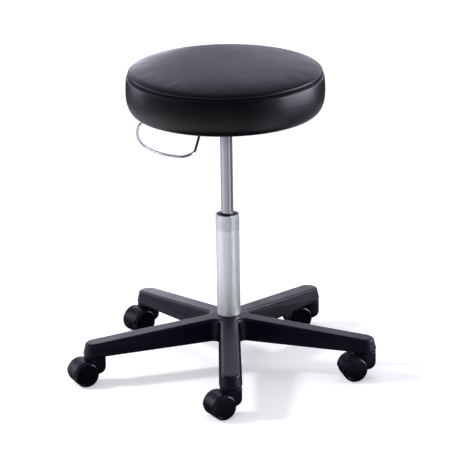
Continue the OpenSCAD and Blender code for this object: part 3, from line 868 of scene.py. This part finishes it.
@dataclass
class SeatCushion:
    """The upholstered cushion: a crowned top panel sewn to a side panel that turns in under the board."""

    finishes: Finishes
    segments: int = 128
    belly_h: float = 52 * MM
    seam_drop: float = 26.8 * MM
    seam_in: float = 3.2 * MM
    side_in_share: float = 0.45
    groove_depth: float = 4.5 * MM
    groove_drop_share: float = 0.2
    shoulder_r: float = 6.5 * MM
    shoulder_deg: tuple[float, float] = (15, 80)
    underside_r: float = 176 * MM
    hem_r: float = 148 * MM
    lower_bulge: float = 2.5
    crown_bulge: float = 2.74
    crown_spacing: float = 0.85
    hem_rings: int = 3
    lower_rings: int = 12
    side_rings: int = 4
    shoulder_rings: int = 5
    crown_rings: int = 26
    held_near: float = 2 * MM
    side_swell: float = 2.2 * MM
    crown_swell: float = 0.5 * MM
    pressure: float = 4.0
    spare_cloth: float = 0.02
    spare_all_round: float = 0.3
    pucker_heading: float = -0.55
    jitter_mm: float = 0.1
    cloth_steps: int = 20
    smooth_deg: float = 60
    fullness: float = 0.8
    seed: int = 7
    low: Vector = field(init=False)
    high: Vector = field(init=False)

    def __post_init__(self) -> None:
        """Read the cushion's box from the frame."""
        self.low, self.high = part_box("seat_cover")

    @property
    def radius(self) -> float:
        """Radius at the belly."""
        return (self.high.x - self.low.x) / 2

    @property
    def seam_z(self) -> float:
        """Height of the top seam."""
        return self.high.z - self.seam_drop

    @property
    def seam_r(self) -> float:
        """Radius of the top panel at the seam."""
        return self.radius - self.seam_in

    def side_outline(self) -> Outline:
        """Draw the side panel, from the hem's edge under the board up to the seam's groove.

        Returns:
            Radius and height of each ring.
        """
        hem_w = self.underside_r - self.hem_r
        points = [
            (self.hem_r + hem_w * i / self.hem_rings, self.low.z) for i in range(self.hem_rings + 1)
        ]
        for i in range(1, self.lower_rings + 1):
            turn = math.radians(90 * i / self.lower_rings)
            swell = math.sin(turn) ** (2 / self.lower_bulge)
            rise = 1 - math.cos(turn) ** (2 / self.lower_bulge)
            points.append((
                self.underside_r + (self.radius - self.underside_r) * swell,
                self.low.z + self.belly_h * rise,
            ))
        shoulder_z = self.seam_z - self.shoulder_r
        belly_z = self.low.z + self.belly_h
        for i in range(1, self.side_rings + 1):
            share = i / self.side_rings
            drawn_in = self.seam_in * self.side_in_share * share**2
            points.append((self.radius - drawn_in, belly_z + (shoulder_z - belly_z) * share))
        centre = (points[-1][0] - self.shoulder_r, shoulder_z)
        points += arc(centre, self.shoulder_r, *self.shoulder_deg, self.shoulder_rings)
        groove_z = self.seam_z - self.groove_drop_share * self.shoulder_r
        points.append((self.seam_r - self.groove_depth, groove_z))
        return points

    def crown_outline(self) -> Outline:
        """Draw the top panel, from the seam to near the middle.

        Returns:
            Radius and height of each ring.
        """
        points = []
        for i in range(1, self.crown_rings):
            turn = math.radians(90 * (i / self.crown_rings) ** self.crown_spacing)
            points.append((
                self.seam_r * math.cos(turn) ** (2 / self.crown_bulge),
                self.seam_z + self.seam_drop * math.sin(turn) ** (2 / self.crown_bulge),
            ))
        return points

    def mark_cloth(self, cushion: bpy.types.Object) -> None:
        """Hold the cloth along the seam and under the board, and give its side spare cloth.

        Args:
            cushion: The closed form, which gets a vertex group for each.
        """
        held = cushion.vertex_groups.new(name="held")
        spare = cushion.vertex_groups.new(name="spare")
        groove_r = self.seam_r - self.groove_depth
        for vertex in cushion.data.vertices:
            across = math.hypot(vertex.co.x, vertex.co.y)
            at_seam = abs(vertex.co.z - self.seam_z) < self.held_near and abs(across - groove_r) < MM
            under = vertex.co.z < self.low.z + self.held_near
            if at_seam or under:
                held.add([vertex.index], 1.0, "REPLACE")
            elif vertex.co.z < self.seam_z:
                away = math.atan2(vertex.co.y, vertex.co.x) - self.pucker_heading
                facing = max(0.0, math.cos(away)) ** 2
                weight = self.spare_all_round + (1 - self.spare_all_round) * facing
                spare.add([vertex.index], weight, "REPLACE")

    def unsettle(self, cushion: bpy.types.Object) -> None:
        """Move the side's points a little at random, so that the cloth puckers unevenly.

        Args:
            cushion: The closed form, changed in place.
        """
        rng = random.Random(self.seed)
        for vertex in cushion.data.vertices:
            if vertex.co.z < self.seam_z:
                nudge = Vector((rng.uniform(-1, 1), rng.uniform(-1, 1), rng.uniform(-1, 1)))
                vertex.co += nudge * self.jitter_mm * MM

    def inflate(self, cushion: bpy.types.Object) -> None:
        """Run the cloth under pressure and apply its result.

        Args:
            cushion: The closed form with its vertex groups, changed in place.
        """
        make_active(cushion)
        modifier = cushion.modifiers.new("cloth", "CLOTH")
        cloth = modifier.settings
        cloth.quality = 6
        cloth.mass = 0.4
        cloth.tension_stiffness = 25
        cloth.compression_stiffness = 25
        cloth.shear_stiffness = 8
        cloth.bending_stiffness = 0.8
        cloth.use_pressure = True
        cloth.uniform_pressure_force = self.pressure
        cloth.vertex_group_mass = "held"
        cloth.vertex_group_shrink = "spare"
        cloth.shrink_min = 0
        cloth.shrink_max = -self.spare_cloth
        cloth.effector_weights.gravity = 0
        modifier.collision_settings.use_collision = False
        for step in range(1, self.cloth_steps + 1):
            bpy.context.scene.frame_set(step)
        bpy.ops.object.modifier_apply(modifier=modifier.name)
        bpy.context.scene.frame_set(1)

    def fill(self, cushion: bpy.types.Object) -> None:
        """Fill the cushion as cloth, and cap how far its points move.

        Args:
            cushion: The closed form, changed in place.
        """
        start = [vertex.co.copy() for vertex in cushion.data.vertices]
        self.mark_cloth(cushion)
        self.unsettle(cushion)
        self.inflate(cushion)
        for vertex, home in zip(cushion.data.vertices, start):
            move = vertex.co - home
            cap = self.crown_swell if home.z > self.seam_z else self.side_swell
            if move.length > cap:
                vertex.co = home + move.normalized() * cap

    def build(self) -> None:
        """Model the two panels as one closed form, fill it and dress it."""
        outline = self.side_outline() + self.crown_outline()
        cushion = lathe("seat_cushion", outline, self.segments)
        self.fill(cushion)
        apply_modifier(cushion, "SUBSURF", levels=1, render_levels=1)
        smooth(cushion, self.smooth_deg)
        cushion.data.materials.append(self.finishes.vinyl)
        finish_piece(cushion, "seat", ["seat_cover", "seat_foam"])


@dataclass
class TopSeam:
    """The thread of the cushion's top seam: short stitches lying in the groove."""

    finishes: Finishes
    count: int = 240
    thread_r: float = 0.35 * MM
    thread_sides: int = 6
    round_share: float = 0.6
    length_share: float = 0.72
    depth_share: float = 0.45
    rise: float = 0.2 * MM

    def build(self, cushion: SeatCushion) -> None:
        """Make one stitch and repeat it along the seam.

        Args:
            cushion: The cushion that the seam belongs to.
        """
        line_r = cushion.seam_r - cushion.groove_depth * self.depth_share
        length = 2 * math.pi * line_r / self.count * self.length_share
        deselect_all()
        bpy.ops.mesh.primitive_cylinder_add(
            vertices=self.thread_sides, radius=self.thread_r, depth=length, location=(0, 0, 0)
        )
        stitch = bpy.context.object
        stitch.name = "seat_stitches"
        round_w = self.thread_r * self.round_share
        apply_modifier(stitch, "BEVEL", width=round_w, segments=1, limit_method="ANGLE")
        stitch.data.transform(Matrix.Rotation(math.pi / 2, 4, "X"))
        stitch.data.transform(Matrix.Translation((line_r, 0, cushion.seam_z + self.rise)))
        ring_of(stitch, self.count)
        stitch.data.materials.append(self.finishes.thread)
        finish_piece(stitch, "seat")


@dataclass
class SeatStaples:
    """The staples that hold the cover's hem to the seat board."""

    finishes: Finishes
    count: int = 56
    crown_l: float = 9 * MM
    wire: float = 0.9 * MM
    flat_share: float = 0.7
    round_share: float = 0.25
    sunk_share: float = 0.2
    tilt_deg: float = 12
    ring_r: float = 160 * MM

    def build(self) -> None:
        """Make one staple and repeat it round the hem."""
        low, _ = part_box("seat_cover")
        deselect_all()
        bpy.ops.mesh.primitive_cube_add(size=1, location=(0, 0, 0))
        staple = bpy.context.object
        staple.name = "hem_staples"
        staple.data.transform(Matrix.Diagonal((self.wire, self.crown_l, self.wire * self.flat_share, 1)))
        apply_modifier(staple, "BEVEL", width=self.wire * self.round_share, segments=2)
        staple.data.transform(Matrix.Rotation(math.radians(self.tilt_deg), 4, "Z"))
        height = low.z - self.wire * self.sunk_share
        staple.data.transform(Matrix.Translation((self.ring_r, 0, height)))
        ring_of(staple, self.count)
        staple.data.materials.append(self.finishes.zinc)
        finish_piece(staple, "seat")


# Casters


@dataclass
class CasterWheels:
    """The ten wheels: a matt tread, a rounded polished rim and a shallow dished face."""

    finishes: Finishes
    casters: int = 5
    edge_r: float = 4 * MM
    edge_rings: int = 8
    tread_end: float = 0.3 * MM
    tread_near: float = 0.4 * MM
    inner_edge_r: float = 1 * MM
    inner_edge_deg: tuple[float, float] = (-45, 0)
    inner_edge_rings: int = 2
    rim_w: float = 1.2 * MM
    dish_depth: float = 0.7 * MM
    dish_slope: float = 0.5 * MM
    dish_fall: float = 0.2 * MM
    hub_r: float = 5 * MM
    boss_share: float = 2.2
    pip_share: float = 0.4
    smooth_deg: float = 30
    segments: int = 96

    def outline(self, radius: float, width: float) -> Outline:
        """Draw one wheel about its axle, from the inner face outwards.

        Args:
            radius: The wheel's radius.
            width: Its width from face to face.

        Returns:
            Radius and height of each ring.
        """
        face_r = radius - self.edge_r - self.rim_w
        dish = width - self.dish_depth
        middle = dish - self.dish_fall
        inner_r = radius - self.inner_edge_r
        points = [(self.hub_r, 0.0), (inner_r, 0.0)]
        points += arc(
            (inner_r, self.inner_edge_r), self.inner_edge_r, *self.inner_edge_deg, self.inner_edge_rings
        )
        points.append((radius, width - self.edge_r - self.tread_end))
        points += arc((radius - self.edge_r, width - self.edge_r), self.edge_r, 0, 90, self.edge_rings)
        points += [(face_r, width), (face_r - self.dish_slope, dish)]
        points += [(self.hub_r * share, middle) for share in (self.boss_share, 1.0, self.pip_share, 0.0)]
        return points

    def model(self, radius: float, width: float) -> bpy.types.Object:
        """Model one wheel with its axle along Z and its inner face at zero.

        Args:
            radius: The wheel's radius.
            width: Its width from face to face.

        Returns:
            The wheel, to be copied.
        """
        wheel = lathe("wheel_model", self.outline(radius, width), self.segments)
        wheel.data.materials.append(self.finishes.wheel_face)
        wheel.data.materials.append(self.finishes.tread)
        for face in wheel.data.polygons:
            if math.hypot(face.center.x, face.center.y) > radius - self.tread_near:
                face.material_index = 1
        smooth(wheel, self.smooth_deg)
        return wheel

    def build(self, joints: list[dict]) -> None:
        """Put a wheel at each wheel joint, facing away from its caster's middle.

        Args:
            joints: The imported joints, whose children are named after the wheels.
        """
        joint_of = {joint["child"]: joint for joint in joints}
        model = None
        for k in range(1, self.casters + 1):
            for side in ("inner", "outer"):
                name = f"{side}_wheel_{k}"
                axis = Vector(joint_of[name]["axis"]).normalized()
                centre = Vector(joint_of[name]["pos_m"])
                reach = [
                    (vertex.co - centre).dot(axis) for vertex in frame["nodes"][name].data.vertices
                ]
                outward = axis if sum(reach) > 0 else -axis
                depths = [abs(value) for value in reach]
                if model is None:
                    model = self.model(centre.z, max(depths) - min(depths))
                turn = Vector((0, 0, 1)).rotation_difference(outward).to_matrix().to_4x4()
                place = Matrix.Translation(centre + outward * min(depths)) @ turn
                wheel = turned_copy(model, f"caster_{name}", place)
                finish_piece(wheel, name, [name])
        bpy.data.objects.remove(model)


# Studio


LAMP_TINT = (0.98, 0.97, 1.0, 1.0)
SURROUND_TINT = (0.94, 0.92, 1.1, 1.0)


@dataclass(frozen=True)
class Lamp:
    """One rectangular soft lamp that faces the stool's middle."""

    name: str
    use: Use
    place: tuple[float, float, float]
    size: tuple[float, float]
    watts: float

    def hang(self, middle: Vector) -> None:
        """Make the lamp and turn it to the stool.

        Args:
            middle: The stool's middle.
        """
        data = bpy.data.lights.new(self.name, "AREA")
        data.shape = "RECTANGLE"
        data.size, data.size_y = self.size
        data.energy = self.watts
        data.color = (LAMP_TINT if self.use is Use.LIGHT else SURROUND_TINT)[:3]
        lamp = bpy.data.objects.new(self.name, data)
        lamp.location = self.place
        lamp.visible_diffuse = self.use is Use.LIGHT
        lamp.visible_glossy = self.use is Use.SHINE
        lamp.rotation_euler = (Vector(self.place) - middle).to_track_quat("Z", "Y").to_euler()
        bpy.context.scene.collection.objects.link(lamp)


@dataclass(frozen=True)
class Surround:
    """What the stool's glossy surfaces see beyond the floor; the camera sees white.

    Fades and panels go by a direction's part across, back or up, from -1 to 1.
    """

    behind: Fade = Fade(-0.1, 0.75)
    falling_off: Fade = Fade(0.3, 0.66, 1.0, 0.5)
    panels: tuple[tuple[float, float], ...] = (
        (-1.0, 0.85), (-0.34, 0.85), (-0.22, 1.7), (-0.1, 1.8), (-0.06, 1.0), (-0.03, 0.4), (-0.01, 0.45),
        (0.02, 0.85), (0.05, 1.05), (0.12, 1.2), (0.4, 1.15), (1.0, 0.9),
    )
    right_box: Fade = Fade(0.72, 0.9, 0.0, 1.6)
    box_up: float = 0.22
    box_edge: Fade = Fade(0.15, 0.4, 1.0, 0.0)
    left_fill: Fade = Fade(-0.6, -0.95, 0.0, 0.75)
    overhead: Fade = Fade(0.6, 0.95, 0.0, 0.3)
    windows: Fade = Fade(-0.15, -0.45, 0.0, 0.22)
    window_sides: Fade = Fade(0.2, 0.45)
    window_up: float = 0.5
    window_edge: Fade = Fade(0.12, 0.25, 1.0, 0.0)
    everywhere: float = 0.02

    def level(self, g: Graph) -> bpy.types.NodeSocket:
        """Work out the surround's strength in each direction.

        Args:
            g: The world's graph.

        Returns:
            The strength.
        """
        parts = g.add("SeparateXYZ", Vector=g.add("TexCoord").outputs["Generated"])
        across, back, up = (parts.outputs[axis] for axis in ("X", "Y", "Z"))
        share = g.math("ADD", g.math("MULTIPLY", across, 0.5), 0.5)
        panels = g.ramp(share, [(side / 2 + 0.5, level) for side, level in self.panels])
        backdrop = g.math("MULTIPLY", g.fade(back, self.behind), g.fade(up, self.falling_off))
        backdrop = g.math("MULTIPLY", backdrop, panels)
        off_box = g.math("ABSOLUTE", g.math("SUBTRACT", up, self.box_up))
        box = g.math("MULTIPLY", g.fade(across, self.right_box), g.fade(off_box, self.box_edge))
        sideways = g.fade(g.math("ABSOLUTE", across), self.window_sides)
        off_window = g.math("ABSOLUTE", g.math("SUBTRACT", up, self.window_up))
        windows = g.math("MULTIPLY", g.fade(back, self.windows), sideways)
        windows = g.math("MULTIPLY", windows, g.fade(off_window, self.window_edge))
        fills = g.math("ADD", g.fade(across, self.left_fill), g.fade(up, self.overhead))
        level = g.math("ADD", g.math("ADD", backdrop, box), fills)
        return g.math("ADD", g.math("ADD", level, windows), self.everywhere)

    def build(self) -> None:
        """Make the world: white to the camera, and panels and boxes to the stool."""
        world = bpy.data.worlds.new("studio")
        bpy.context.scene.world = world
        world.use_nodes = True
        world.node_tree.nodes.clear()
        g = Graph(world.node_tree)
        seen = g.ray_is(Ray.CAMERA)
        strength = g.mix_value(seen, self.level(g), 1.0)
        tint = g.mix_colour(seen, SURROUND_TINT, WHITE)
        background = g.add("Background", Color=tint, Strength=strength)
        g.add("OutputWorld", Surface=background.outputs[0])


@dataclass(frozen=True)
class Floor:
    """The pale floor: white to the camera with the stool's shadow kept, and a painted reflection for its
    gloss.

    Glossy rays see painted shade near the stool and pale and dark cards farther out, whose levels go by the
    heading in degrees from the viewer's side, positive to the right.
    """

    half: float = 12.0
    albedo: float = 0.8
    lift: Fade = Fade(1.6, 4.5, 0.38, 1.0)
    # Painted shade in the floor's reflection near the stool, then painted reflection cards that fade out far
    # away
    painted_shade_near_stool: Fade = Fade(0.34, 0.59, 0.03, 1.0)
    painted_reflection_fade_out: Fade = Fade(1.65, 1.95, 1.0, 0.2)
    painted_reflection_levels: tuple[tuple[float, float], ...] = (
        (-150, 0.6), (-120, 0.6), (-98, 1.0), (-62, 1.05), (-44, 0.85), (16, 0.8), (24, 0.45), (31, 0.45),
        (42, 1.4), (66, 1.4), (80, 0.5), (150, 0.45),
    )

    def painted_reflection(self, g: Graph, coords: bpy.types.NodeSocket) -> bpy.types.NodeSocket:
        """Work out the painted reflection on the floor, by distance and by heading: painted shade near the
        stool, and pale and dark cards farther out.

        Args:
            g: The floor's graph.
            coords: Object coordinates on the floor.

        Returns:
            The painted reflection's level.
        """
        away = g.length(coords)
        ring = g.math("MULTIPLY", g.fade(away, self.painted_shade_near_stool), g.fade(away, self.painted_reflection_fade_out))
        parts = g.add("SeparateXYZ", Vector=coords)
        front = g.math("MULTIPLY", parts.outputs["Y"], -1.0)
        heading = g.math("ARCTAN2", parts.outputs["X"], front)
        turn = g.math("ADD", g.math("DIVIDE", heading, 2 * math.pi), 0.5)
        levels = g.ramp(turn, [(deg / 360 + 0.5, level) for deg, level in self.painted_reflection_levels])
        return g.math("MULTIPLY", ring, levels)

    def build(self) -> None:
        """Lay the floor."""
        deselect_all()
        bpy.ops.mesh.primitive_plane_add(size=2 * self.half, location=(0, 0, 0))
        floor = bpy.context.object
        floor.name = "studio_floor"
        apply_place(floor)
        material = bpy.data.materials.new("studio_floor")
        material.use_nodes = True
        material.node_tree.nodes.clear()
        g = Graph(material.node_tree)
        coords = g.add("TexCoord").outputs["Object"]
        mirrored = g.ray_is(Ray.GLOSSY, Ray.TRANSMISSION)
        # Glossy and transmission rays see the painted reflection, not the floor's lit colour
        change = g.math("MULTIPLY", mirrored, g.math("SUBTRACT", self.painted_reflection(g, coords), self.albedo))
        level = g.math("ADD", change, self.albedo)
        colour = g.add("CombineColor", Red=level, Green=level, Blue=level)
        matt = g.add("BsdfDiffuse", Color=colour.outputs[0])
        lift = g.fade(g.length(coords), self.lift)
        glow = g.add("Emission", Strength=g.math("MULTIPLY", g.ray_is(Ray.CAMERA), lift))
        both = g.add("AddShader")
        g.feed(both, 0, matt.outputs[0])
        g.feed(both, 1, glow.outputs[0])
        g.add("OutputMaterial", Surface=both.outputs[0])
        floor.data.materials.append(material)


@dataclass(frozen=True)
class Viewpoint:
    """The photograph's camera: its place, its turn in radians and its focal length in pixels."""

    side: float = -29.15 * MM
    distance: float = 6.99994
    height: float = 2.55915
    yaw: float = 0.003391
    pitch: float = 0.310321
    roll: float = -0.016352
    focal_px: float = 3470.45
    frame_px: float = 450.0
    sensor_mm: float = 36.0
    sees_to: float = 100.0

    def build(self) -> None:
        """Stand the camera where the photograph was taken from."""
        data = bpy.data.cameras.new("camera")
        data.sensor_width = self.sensor_mm
        data.lens = self.focal_px / self.frame_px * self.sensor_mm
        data.clip_end = self.sees_to
        camera = bpy.data.objects.new("camera", data)
        level = math.cos(self.pitch)
        ahead = Vector((math.sin(self.yaw) * level, math.cos(self.yaw) * level, -math.sin(self.pitch)))
        right = Vector((math.cos(self.yaw), -math.sin(self.yaw), 0))
        up = right.cross(ahead)
        cos_roll, sin_roll = math.cos(self.roll), math.sin(self.roll)
        right_rolled = right * cos_roll + up * sin_roll
        up_rolled = up * cos_roll - right * sin_roll
        turn = Matrix((right_rolled, up_rolled, -ahead)).transposed().to_4x4()
        place = Matrix.Translation((self.side, -self.distance, self.height))
        camera.matrix_world = place @ turn
        bpy.context.scene.collection.objects.link(camera)
        bpy.context.scene.camera = camera


@dataclass
class Studio:
    """A plain pale floor, soft light and the photograph's camera."""

    lamps: tuple[Lamp, ...] = (
        Lamp("key_left", Use.LIGHT, (-2.05, 0.1, 1.85), (0.4, 0.4), 44),
        Lamp("top", Use.LIGHT, (0.2, 0.4, 2.9), (2.4, 2.4), 26),
        Lamp("front_fill", Use.LIGHT, (0.0, -3.0, 1.3), (2.2, 2.0), 24),
        Lamp("back_left", Use.SHINE, (-0.42, 2.6, 0.6), (0.5, 0.5), 1.8),
        Lamp("strip_right", Use.SHINE, (1.9, 0.25, 1.25), (1.0, 0.9), 10),
        Lamp("low_right", Use.SHINE, (1.6, -0.05, 0.62), (1.5, 0.7), 26),
        Lamp("low_left", Use.SHINE, (-1.6, 0.75, 0.6), (0.8, 0.7), 5),
    )

    def build(self) -> None:
        """Set the floor, the surround, the lamps and the camera."""
        Floor().build()
        Surround().build()
        middle = (CAD_BOX[0] + CAD_BOX[1]) / 2
        for lamp in self.lamps:
            lamp.hang(middle)
        Viewpoint().build()


def main() -> None:
    """Build the scene piece by piece."""
    logging.basicConfig(level=logging.INFO, format="%(name)s: %(message)s")
    Studio().build()
    finishes = Finishes()
    finishes.dress(frame["nodes"])
    cushion = SeatCushion(finishes)
    cushion.build()
    TopSeam(finishes).build(cushion)
    SeatStaples(finishes).build()
    CasterWheels(finishes).build(frame["joints"])
    bpy.context.scene.view_settings.view_transform = "Standard"


if __name__ == "__main__":
    main()
